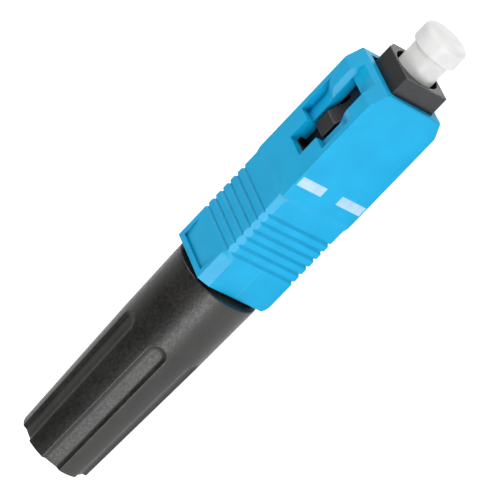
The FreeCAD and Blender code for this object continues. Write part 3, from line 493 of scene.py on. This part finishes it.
# %% Sizes of the nut
RIM_ROUND, TAIL_ROUND = 0.12, 0.1
FRONT, REAR = (nut_high[0] - START_X) / MM, (nut_low[0] - START_X) / MM
WAIST = -9.2
FRONT_RADIUS, WAIST_RADIUS, REAR_RADIUS = 4.805, 4.66, 4.17
MOUTH_RADIUS, MOUTH_DEPTH = 4.03, 1.12
CONE_FRONT_RADIUS, CONE_REAR_RADIUS, CONE_REAR, SLOPE_REAR = 3.65, 3.12, -19.6, -22.4
CABLE_HOLE, HOLE_BEVEL = 1.9, 0.35
print("the nut runs from", round(REAR, 2), "to", round(FRONT, 2), "mm along the axis")

# %% The nut's section
TIP_FRONT, TIP_REAR = -7.9, -9.4
ROWS_APART, TIP_ROWS_APART, TAIL_ROWS_APART = 0.5, 0.05, 0.6
BESIDE = 0.05
RIM_STEPS = 6


def quarter(x, r, radius, start):
    """Points of a rounded rim about (x, r), turned a quarter round from start, in degrees."""
    turns = [math.radians(start + 90 * k / RIM_STEPS) for k in range(RIM_STEPS + 1)]
    return [(x + radius * math.cos(a), r + radius * math.sin(a)) for a in turns]


def spaced(start, end, apart):
    """Even places after start, up to end, about so far apart."""
    count = max(1, round(abs(end - start) / apart))
    return [start + (end - start) * k / count for k in range(1, count + 1)]


def outer_radius(x):
    """The nut's two straight tapers, which meet at the waist."""
    if x > WAIST:
        share = (x - WAIST) / (FRONT - RIM_ROUND - WAIST)
        return WAIST_RADIUS + share * (FRONT_RADIUS - WAIST_RADIUS)
    share = (WAIST - x) / (WAIST - REAR - TAIL_ROUND)
    return WAIST_RADIUS - share * (WAIST_RADIUS - REAR_RADIUS)


front_rim = quarter(FRONT - RIM_ROUND, FRONT_RADIUS - RIM_ROUND, RIM_ROUND, 0)
tail_rim = quarter(REAR + TAIL_ROUND, REAR_RADIUS - TAIL_ROUND, TAIL_ROUND, 90)
run = (spaced(FRONT - RIM_ROUND, TIP_FRONT, ROWS_APART)
       + spaced(TIP_FRONT, TIP_REAR, TIP_ROWS_APART)
       + spaced(TIP_REAR, REAR + TAIL_ROUND, TAIL_ROWS_APART)[:-1])
outside = front_rim + [(x, outer_radius(x)) for x in run] + tail_rim
inside = [
    (REAR, CABLE_HOLE + HOLE_BEVEL + BESIDE),
    (REAR, CABLE_HOLE + HOLE_BEVEL),
    (REAR + HOLE_BEVEL, CABLE_HOLE),
    (REAR + HOLE_BEVEL + BESIDE, CABLE_HOLE),
    (SLOPE_REAR, CABLE_HOLE),
    (CONE_REAR, CONE_REAR_RADIUS),
    (WAIST, CONE_FRONT_RADIUS),
    (FRONT - MOUTH_DEPTH, CONE_FRONT_RADIUS),
    (FRONT - MOUTH_DEPTH, MOUTH_RADIUS),
    (FRONT, MOUTH_RADIUS),
]
loop = outside + inside
print("section points:", len(outside), "outside,", len(inside), "inside")

# %% The section as a mesh
section = bpy.data.meshes.new("nut_section")
section.from_pydata([(START_X + x * MM, r * MM, 0) for x, r in loop],
                    [(k, (k + 1) % len(loop)) for k in range(len(loop))], [])
is_outer = section.attributes.new("outer", "FLOAT", "POINT")
is_outer.data.foreach_set("value", [1.0] * len(outside) + [0.0] * len(inside))
nut_maker = add_object("nut_maker", section)
print("section drawn with", len(section.edges), "edges")

# %% [markdown]
# ## The frame of a node tree
#
# The nut and the spring are both grown by a tree that takes a geometry, some sizes and a
# material. One function opens such a tree and names its inputs. Another closes it: it gives
# the result its material and makes it real, so that a plain mesh can be taken from it.

# %% Opening and closing a node tree


def open_tree(name, source, sizes):
    """A new tree, its inputs, and the identifier of each size that the tree is given."""
    tree = bpy.data.node_groups.new(name, "GeometryNodeTree")
    tree.is_modifier = True

    def socket(title, kind, in_out="INPUT"):
        made = tree.interface.new_socket(name=title, in_out=in_out, socket_type=kind)
        return made.identifier

    socket("Geometry", "NodeSocketGeometry", "OUTPUT")
    socket(source, "NodeSocketGeometry")
    names = {size: socket(size, "NodeSocketFloat") for size in sizes}
    names["Material"] = socket("Material", "NodeSocketMaterial")
    return tree, tree.nodes.new("NodeGroupInput").outputs, names


def close_tree(tree, given, geometry):
    dress = tree.nodes.new("GeometryNodeSetMaterial")
    tree.links.new(geometry, dress.inputs["Geometry"])
    tree.links.new(given["Material"], dress.inputs["Material"])
    real = tree.nodes.new("GeometryNodeRealizeInstances")
    tree.links.new(dress.outputs["Geometry"], real.inputs["Geometry"])
    output = tree.nodes.new("NodeGroupOutput")
    tree.links.new(real.outputs["Geometry"], output.inputs["Geometry"])


def moved(tree, geometry, x, y, z):
    """Each point of a geometry is put at x, y and z."""
    put = tree.nodes.new("ShaderNodeCombineXYZ")
    for axis, value in zip("XYZ", (x, y, z)):
        tree.links.new(value, put.inputs[axis])
    move = tree.nodes.new("GeometryNodeSetPosition")
    tree.links.new(geometry, move.inputs["Geometry"])
    tree.links.new(put.outputs["Vector"], move.inputs["Position"])
    return move.outputs["Geometry"]


print("tree helpers ready")

# %% [markdown]
# ## The nut's grid
#
# The grid has one row for each point of the section and one more that closes the loop. Twelve
# columns lie on each half of a flute and ten on each half of the land beside it. Every grid
# point works out its own row and column from its index, and reads the section at its row.

# %% Rows, columns and the section
FLUTE_COLUMNS, LAND_COLUMNS = 12, 10
SECTOR = 2 * (FLUTE_COLUMNS + LAND_COLUMNS)


def wrapped_grid(tree, given, rows):
    """The grid, and the row and the column of each of its points."""
    columns = field(tree, "MULTIPLY", given["Flutes"], SECTOR)
    width = field(tree, "ADD", columns, 1)
    grid = tree.nodes.new("GeometryNodeMeshGrid")
    grid.inputs["Vertices X"].default_value = rows + 1
    tree.links.new(width, grid.inputs["Vertices Y"])
    index = tree.nodes.new("GeometryNodeInputIndex").outputs["Index"]
    row = field(tree, "FLOOR", field(tree, "DIVIDE", field(tree, "ADD", index, 0.5), width))
    column = field(tree, "SUBTRACT", index, field(tree, "MULTIPLY", row, width))
    return grid.outputs["Mesh"], field(tree, "MODULO", row, rows), column


def section_at(tree, given, row):
    """The place along the axis, the radius, and 1 on the outer wall, read at a row."""
    def sampled(kind, value):
        node = tree.nodes.new("GeometryNodeSampleIndex")
        node.data_type = kind
        node.domain = "POINT"
        tree.links.new(given["Section"], node.inputs["Geometry"])
        tree.links.new(value, node.inputs["Value"])
        tree.links.new(row, node.inputs["Index"])
        return node.outputs["Value"]

    position = tree.nodes.new("GeometryNodeInputPosition").outputs["Position"]
    place = tree.nodes.new("ShaderNodeSeparateXYZ")
    tree.links.new(sampled("FLOAT_VECTOR", position), place.inputs["Vector"])
    outer = add_node(tree, "GeometryNodeInputNamedAttribute", data_type="FLOAT", Name="outer")
    on_wall = sampled("FLOAT", outer.outputs["Attribute"])
    return place.outputs["X"], place.outputs["Y"], on_wall


print("columns round one flute and its land:", SECTOR)

# %% [markdown]
# ## The nut's flutes
#
# A flute is as wide at the tail as at its tip, but the nut is not, so the columns follow the
# flute's edges down the taper, and its edges stay clean. The depth is full in the middle, falls
# to nothing at the edges and runs round the tip. The squareness makes the floor flat.

# %% Angle and depth of a flute
EDGE_CROWDING, EDGE_BLEND = 0.8, 0.15


def column_angle(tree, given, column, radius):
    """The number of the nearest flute, the side of it, and the angle from its middle."""
    half = field(tree, "ADD", column, SECTOR / 2)
    flute = field(tree, "FLOOR", field(tree, "DIVIDE", half, SECTOR))
    offset = field(tree, "SUBTRACT", column, field(tree, "MULTIPLY", flute, SECTOR))
    away = field(tree, "ABSOLUTE", offset)
    in_flute = field(tree, "MINIMUM", field(tree, "DIVIDE", away, FLUTE_COLUMNS), 1)
    in_flute = field(tree, "POWER", in_flute, EDGE_CROWDING)
    past = field(tree, "DIVIDE", field(tree, "SUBTRACT", away, FLUTE_COLUMNS), LAND_COLUMNS)
    on_land = field(tree, "MAXIMUM", past, 0)
    edge_share = field(tree, "DIVIDE", given["Half Width"], radius)
    edge_angle = field(tree, "ARCSINE", edge_share)
    flute_angle = field(tree, "ARCSINE", field(tree, "MULTIPLY", in_flute, edge_share))
    half_pitch = field(tree, "DIVIDE", math.pi, given["Flutes"])
    land = field(tree, "SUBTRACT", half_pitch, edge_angle)
    angle = field(tree, "ADD", flute_angle, field(tree, "MULTIPLY", on_land, land))
    return flute, field(tree, "SIGN", offset), angle


def flute_depth(tree, given, x, radius, angle):
    """How deep the surface is pressed in, x along the axis and angle from a flute's middle."""
    across = field(tree, "MULTIPLY", radius, field(tree, "SINE", angle))
    ball = field(tree, "SUBTRACT", given["Flute Tip"], given["Half Width"])
    ahead = field(tree, "MAXIMUM", field(tree, "SUBTRACT", x, ball), 0)
    squares = field(tree, "ADD", field(tree, "POWER", across, 2),
                    field(tree, "POWER", ahead, 2))
    from_middle = field(tree, "DIVIDE", field(tree, "SQRT", squares), given["Half Width"])
    share = field(tree, "POWER", from_middle, given["Squareness"])
    pressed = field(tree, "SMOOTH_MAX", field(tree, "SUBTRACT", 1, share), 0, EDGE_BLEND)
    return field(tree, "MULTIPLY", pressed, given["Depth"])


print("flute rule ready")

# %% [markdown]
# ## The whole nut tree
#
# Each grid point now has its place along the axis, its radius and its turn about the axis. The
# points go there, the two ends of the grid meet and are merged, and the nut is closed.

# %% Node tree of the nut


def nut_tree(rows):
    tree, given, names = open_tree("fluted_turning", "Section", (
        "Flutes", "Flute Tip", "Half Width", "Depth", "Squareness", "Axis Height"))
    grid, row, column = wrapped_grid(tree, given, rows)
    x, radius, on_wall = section_at(tree, given, row)
    flute, side, angle = column_angle(tree, given, column, radius)
    depth = field(tree, "MULTIPLY", flute_depth(tree, given, x, radius, angle), on_wall)
    radius = field(tree, "SUBTRACT", radius, depth)
    pitch = field(tree, "DIVIDE", math.tau, given["Flutes"])
    turn = field(tree, "ADD", field(tree, "MULTIPLY", flute, pitch),
                 field(tree, "MULTIPLY", side, angle))
    y = field(tree, "MULTIPLY", radius, field(tree, "SINE", turn))
    z = field(tree, "ADD", field(tree, "MULTIPLY", radius, field(tree, "COSINE", turn)),
              given["Axis Height"])
    merge = add_node(tree, "GeometryNodeMergeByDistance", Distance=0.0001 * MM)
    tree.links.new(moved(tree, grid, x, y, z), merge.inputs["Geometry"])
    close_tree(tree, given, merge.outputs["Geometry"])
    return tree, names


tree, names = nut_tree(len(loop))
print("nut tree:", len(tree.nodes), "nodes")

# %% [markdown]
# ## Making the nut
#
# The tree runs as a modifier on the section. Its inputs are set by their identifiers, and the
# result is taken as a plain mesh. The faces are turned outwards, and edges sharper than the
# flutes' are kept crisp.

# %% From a node tree to a plain mesh
SHARP_ANGLE = math.radians(62)


def grown_mesh(maker, tree, names, values):
    """The plain mesh that a node tree makes on an object, which is then removed."""
    grow = maker.modifiers.new(tree.name, "NODES")
    grow.node_group = tree
    for name, value in values.items():
        grow[names[name]] = value
    mesh = plain_mesh(maker)
    maker.modifiers.clear()
    bpy.data.objects.remove(maker)
    work = bmesh.new()
    work.from_mesh(mesh)
    bmesh.ops.recalc_face_normals(work, faces=work.faces)
    open_edges = sum(1 for edge in work.edges if len(edge.link_faces) != 2)
    work.to_mesh(mesh)
    work.free()
    mesh.polygons.foreach_set("use_smooth", [True] * len(mesh.polygons))
    mesh.set_sharp_from_angle(angle=SHARP_ANGLE)
    while mesh.materials[0] is None:
        mesh.materials.pop(index=0)
    print(tree.name, "made", len(mesh.polygons), "faces with", open_edges, "open edges")
    return mesh


print("edges over", round(math.degrees(SHARP_ANGLE)), "degrees stay sharp")

# %% Make the nut
FLUTES, SQUARENESS = 6.0, 5.0
FLUTE_TIP, FLUTE_HALF, FLUTE_DEPTH = -8.1, 1.07, 0.37
nut_mesh = grown_mesh(nut_maker, tree, names, {
    "Flutes": FLUTES,
    "Flute Tip": START_X + FLUTE_TIP * MM,
    "Half Width": FLUTE_HALF * MM,
    "Depth": FLUTE_DEPTH * MM,
    "Squareness": SQUARENESS,
    "Axis Height": AXIS_Z,
    "Material": nut_black,
})
nut = add_object("fluted_nut", nut_mesh)
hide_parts("tail_nut")
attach(nut, "nut_body")
print("nut:", len(nut_mesh.polygons), "faces")

# %% [markdown]
# ## Translucent cap
#
# Soft polythene lets light through but shows nothing behind it sharply: mostly diffuse white,
# with some light scattered inside.

# %% Translucent cap
milk, tree, shader, coords = new_material("cap_plastic")
cloud = ramp(tree, noise(tree, coords, 0.4, 3), [
    (0.35, linear(223, 223, 222)), (0.65, linear(239, 239, 238))])
tree.links.new(cloud, shader.inputs["Base Color"])
shader.inputs["Roughness"].default_value = 0.4
shader.inputs["Subsurface Weight"].default_value = 0.6
shader.inputs["Subsurface Radius"].default_value = (1.0, 1.0, 1.0)
shader.inputs["Subsurface Scale"].default_value = 0.8 * MM
shader.inputs["Transmission Weight"].default_value = 0.15
tree.links.new(bump(tree, noise(tree, coords, 1.5, 2), 0.01, 0.5), shader.inputs["Normal"])
cap.data.materials[0] = milk
cap.data.materials[1] = milk
print("cap plastic ready")

# %% [markdown]
# ## Inner pieces
#
# They don't show with the connector closed, but they keep their own finish for when it is
# taken apart: polished ceramic, turned steel, spring wire, natural and grey plastic and glass.

# %% Materials of the inner pieces


def inner_finish(name, low, high, rough, metal=0.0, scale=3.0, depth=0.004, stretch=None):
    material, tree, shader, coords = new_material(name)
    place = coords
    if stretch:
        turn = add_node(tree, "ShaderNodeMapping", Scale=stretch)
        tree.links.new(coords, turn.inputs["Vector"])
        place = turn.outputs["Vector"]
    grain = noise(tree, place, scale, 3)
    tree.links.new(ramp(tree, grain, [(0.3, low), (0.7, high)]), shader.inputs["Base Color"])
    shader.inputs["Metallic"].default_value = metal
    tree.links.new(ramp(tree, grain, [(0.3, grey(rough - 0.05)), (0.7, grey(rough + 0.05))]),
                   shader.inputs["Roughness"])
    tree.links.new(bump(tree, grain, depth, 0.6), shader.inputs["Normal"])
    return material


ceramic = inner_finish("ceramic", linear(238, 236, 228), linear(248, 247, 242), 0.14, depth=0.001)
steel = inner_finish("turned_steel", linear(176, 176, 174), linear(204, 204, 202), 0.26, 1.0,
                     stretch=(8, 1, 1))
wire = inner_finish("spring_wire", linear(168, 168, 168), linear(196, 196, 196), 0.24, 1.0)
pale_grey = inner_finish("grey_plastic", linear(176, 180, 184), linear(190, 194, 197), 0.45)
natural = inner_finish("natural_plastic", linear(224, 223, 219), linear(236, 235, 231), 0.42)
glass = inner_finish("bare_glass", linear(215, 225, 235), linear(232, 240, 248), 0.06, depth=0.0005)
FINISH = {
    "ferrule": ceramic,
    "ferrule_holder": steel,
    "fibre_stub": glass,
    "ferrule_spring": wire,
    "splice_base": pale_grey,
    "splice_lid": pale_grey,
    "splice_clip": steel,
    "rear_body": body_black,
    "cable_clamp_cover": body_black,
    "lock_slider": natural,
}
for name, material in FINISH.items():
    mesh = nodes[name].data
    for place in range(len(mesh.materials)):
        mesh.materials[place] = material
print("inner pieces finished:", len(FINISH))

# %% [markdown]
# ## Ferrule spring
#
# The spring follows a helix between the rear body and the ferrule's flange. A straight line is
# resampled, each point is turned round the axis by its place along the line, and a circle of
# the wire's size runs along the result.

# %% Node tree of the spring
SPRING_TURNS, SPRING_RADIUS, WIRE_RADIUS = 5.0, 1.85 * MM, 0.17 * MM
POINTS_PER_TURN, WIRE_SIDES = 28, 12


def spring_tree():
    tree, given, names = open_tree("wound_wire", "Geometry", (
        "Rear", "Length", "Mean Radius", "Wire Radius", "Turns", "Axis Height"))
    line = tree.nodes.new("GeometryNodeCurvePrimitiveLine")
    points = tree.nodes.new("GeometryNodeResampleCurve")
    tree.links.new(line.outputs["Curve"], points.inputs["Curve"])
    steps = field(tree, "MULTIPLY", given["Turns"], POINTS_PER_TURN)
    tree.links.new(field(tree, "ADD", steps, 1), points.inputs["Count"])
    along = tree.nodes.new("GeometryNodeSplineParameter").outputs["Factor"]
    turn = field(tree, "MULTIPLY", field(tree, "MULTIPLY", along, given["Turns"]), math.tau)
    x = field(tree, "ADD", given["Rear"], field(tree, "MULTIPLY", along, given["Length"]))
    y = field(tree, "MULTIPLY", field(tree, "SINE", turn),
              field(tree, "MULTIPLY", given["Mean Radius"], -1))
    z = field(tree, "ADD", field(tree, "MULTIPLY", field(tree, "COSINE", turn),
                                 given["Mean Radius"]), given["Axis Height"])
    wire_section = add_node(tree, "GeometryNodeCurvePrimitiveCircle", Resolution=WIRE_SIDES)
    tree.links.new(given["Wire Radius"], wire_section.inputs["Radius"])
    draw = tree.nodes.new("GeometryNodeCurveToMesh")
    draw.inputs["Fill Caps"].default_value = True
    tree.links.new(moved(tree, points.outputs["Curve"], x, y, z), draw.inputs["Curve"])
    tree.links.new(wire_section.outputs["Curve"], draw.inputs["Profile Curve"])
    close_tree(tree, given, draw.outputs["Mesh"])
    return tree, names


tree, names = spring_tree()
print("spring tree:", len(tree.nodes), "nodes")

# %% [markdown]
# ## Making the spring
#
# Its ends come from the solid that it stands for. It rides on the plug.

# %% Make the spring
spring_low, spring_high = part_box("ferrule_spring")
length = spring_high[0] - spring_low[0]
spring_maker = add_object("spring_maker", bpy.data.meshes.new("spring_start"))
spring_mesh = grown_mesh(spring_maker, tree, names, {
    "Rear": spring_low[0] + WIRE_RADIUS,
    "Length": length - 2 * WIRE_RADIUS,
    "Mean Radius": SPRING_RADIUS,
    "Wire Radius": WIRE_RADIUS,
    "Turns": SPRING_TURNS,
    "Axis Height": AXIS_Z,
    "Material": wire,
})
spring = add_object("wound_spring", spring_mesh)
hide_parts("ferrule_spring")
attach(spring, "plug_body")
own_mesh(spring)
print("spring:", len(spring_mesh.polygons), "faces")

# %% [markdown]
# ## Floor
#
# The floor is pale and takes the connector's shadow. To the camera, and in what glossy and
# clear surfaces show of it, it also glows a little, so that the background is white without
# more light falling on the connector.

# %% Floor
FLOOR_REACH, FLOOR_TONE = 2.0, 0.8
floor_mesh = bpy.data.meshes.new("floor")
corners = [(FLOOR_REACH * x, FLOOR_REACH * y, 0)
           for x, y in ((-1, -1), (1, -1), (1, 1), (-1, 1))]
floor_mesh.from_pydata(corners, [], [(0, 1, 2, 3)])
floor = add_object("floor", floor_mesh)
white, tree, shader, coords = new_material("pale_floor")
shader.inputs["Base Color"].default_value = grey(FLOOR_TONE)
shader.inputs["Roughness"].default_value = 0.9
shader.inputs["Specular IOR Level"].default_value = 0.0
glow = add_node(tree, "ShaderNodeEmission", Strength=FLOOR_TONE)
both = tree.nodes.new("ShaderNodeAddShader")
seen = tree.nodes.new("ShaderNodeLightPath")
seen_by = combine(tree, "MAXIMUM", seen.outputs["Is Camera Ray"], seen.outputs["Is Glossy Ray"],
                  seen.outputs["Is Transmission Ray"])
choose = tree.nodes.new("ShaderNodeMixShader")
output = tree.nodes["Material Output"]
tree.links.new(shader.outputs["BSDF"], both.inputs[0])
tree.links.new(glow.outputs["Emission"], both.inputs[1])
tree.links.new(seen_by, choose.inputs["Fac"])
tree.links.new(shader.outputs["BSDF"], choose.inputs[1])
tree.links.new(both.outputs["Shader"], choose.inputs[2])
tree.links.new(choose.outputs["Shader"], output.inputs["Surface"])
floor_mesh.materials.append(white)
print("floor laid")

# %% [markdown]
# ## Lights
#
# Three round lamps aim at the middle of the connector. The key stands on the near side and a
# weak one beside it, and the top lamp stands over the far side of the nose. The sky is bright
# near the horizon and dark overhead. An even sky would wash over the dark nut as one sheen,
# and this one lets its flutes show.

# %% Lights
LAMP_AWAY, LAMP_SIZE = 0.5, 0.22
middle = Vector((0, 0, AXIS_Z))


def lamp(name, direction, power):
    light = bpy.data.lights.new(name, "AREA")
    light.shape = "DISK"
    light.size = LAMP_SIZE
    light.energy = power
    away = Vector(direction).normalized() * LAMP_AWAY
    holder = add_object(name, light)
    holder.location = middle + away
    holder.rotation_euler = (-away).to_track_quat("-Z", "Y").to_euler()


lamp("key", (-0.36, -0.89, 0.29), 1.1)
lamp("side", (0.35, -0.85, 0.4), 0.35)
lamp("top", (0.62, 0.3, 0.72), 1.1)
world = bpy.data.worlds.new("studio")
bpy.context.scene.world = world
world.use_nodes = True
tree = world.node_tree
direction = tree.nodes.new("ShaderNodeTexCoord")
split = tree.nodes.new("ShaderNodeSeparateXYZ")
tree.links.new(direction.outputs["Generated"], split.inputs["Vector"])
tree.links.new(ramp(tree, split.outputs["Z"], [
    (0.0, grey(1.0)), (0.2, grey(1.0)), (0.62, grey(0.62)), (0.82, grey(0.12)),
    (0.94, grey(0.04))]), tree.nodes["Background"].inputs["Color"])
tree.nodes["Background"].inputs["Strength"].default_value = 1.0
print("lamps: key, side, top")

# %% [markdown]
# ## Camera
#
# The camera looks down on the window side and the marked flat side through a long lens, and is
# rolled so that the connector runs up to the right. It is given by where it stands, where it
# aims and its roll.

# %% Camera
EYE = Vector((143.344, -279.110, 254.022)) * MM
AIM = Vector((-0.344, -0.091, 4.81)) * MM
ROLL = math.radians(-63.937)
camera_data = bpy.data.cameras.new("camera")
camera_data.sensor_fit = "HORIZONTAL"
camera_data.sensor_width = 36
camera_data.lens = 305.6
camera_data.clip_start = 0.01
camera_data.clip_end = 20
camera = add_object("camera", camera_data)
look = (AIM - EYE).to_track_quat("-Z", "Y").to_matrix().to_4x4()
camera.matrix_world = Matrix.Translation(EYE) @ look @ Matrix.Rotation(ROLL, 4, "Z")
bpy.context.scene.camera = camera
bpy.context.scene.view_settings.view_transform = "Standard"
print("camera is", round(EYE.length / MM), "mm away")
